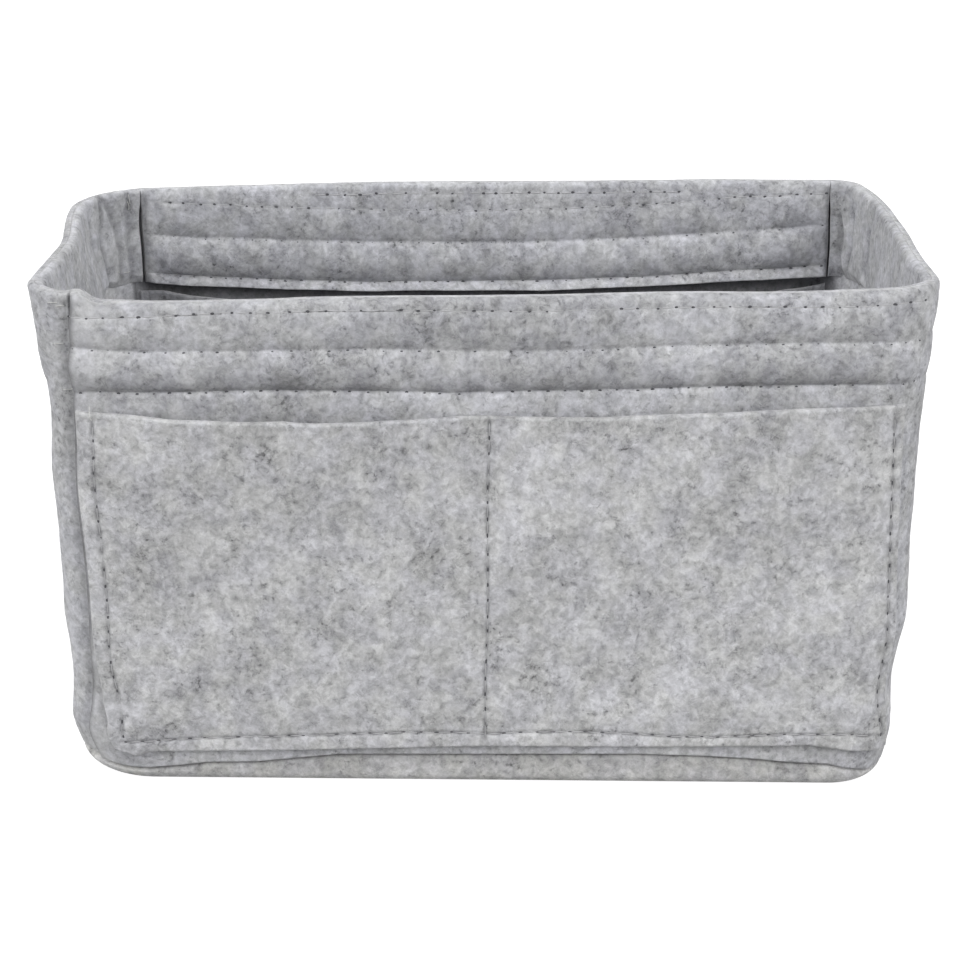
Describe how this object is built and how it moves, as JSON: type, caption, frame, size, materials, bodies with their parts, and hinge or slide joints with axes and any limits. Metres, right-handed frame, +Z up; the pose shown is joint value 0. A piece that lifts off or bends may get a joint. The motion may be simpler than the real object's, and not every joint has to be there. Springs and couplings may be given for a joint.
{
  "type": "purse organizer insert",
  "caption": "Open-topped felt insert for a handbag, with sewn pockets outside and inside, a double rim and a tray base.",
  "frame": {"origin": "middle of the footprint, on the surface that the insert stands on", "axes": "+X along the length, to the right as the pocket front is seen; -Y out of the front; +Z up, out of the open top"},
  "size_m": [0.2808, 0.1734, 0.16],
  "materials": {
    "felt_wall": "pressed heather felt, matt and fuzzy",
    "felt_pocket": "pressed heather felt, matt and fuzzy",
    "felt_lining": "pressed heather felt, matt and fuzzy",
    "felt_base": "pressed heather felt, matt and fuzzy",
    "thread": "spun polyester sewing thread"
  },
  "bodies": {
    "root": {"body_wrap": "felt_wall", "base_tray": "felt_base", "rim_facing_front": "felt_lining", "rim_facing_right": "felt_lining", "rim_facing_back": "felt_lining", "rim_facing_left": "felt_lining", "front_pocket_panel": "felt_pocket", "back_pocket_panel": "felt_pocket", "inner_front_pocket_panel": "felt_lining", "inner_back_pocket_panel": "felt_lining"}
  },
  "joints": []
}
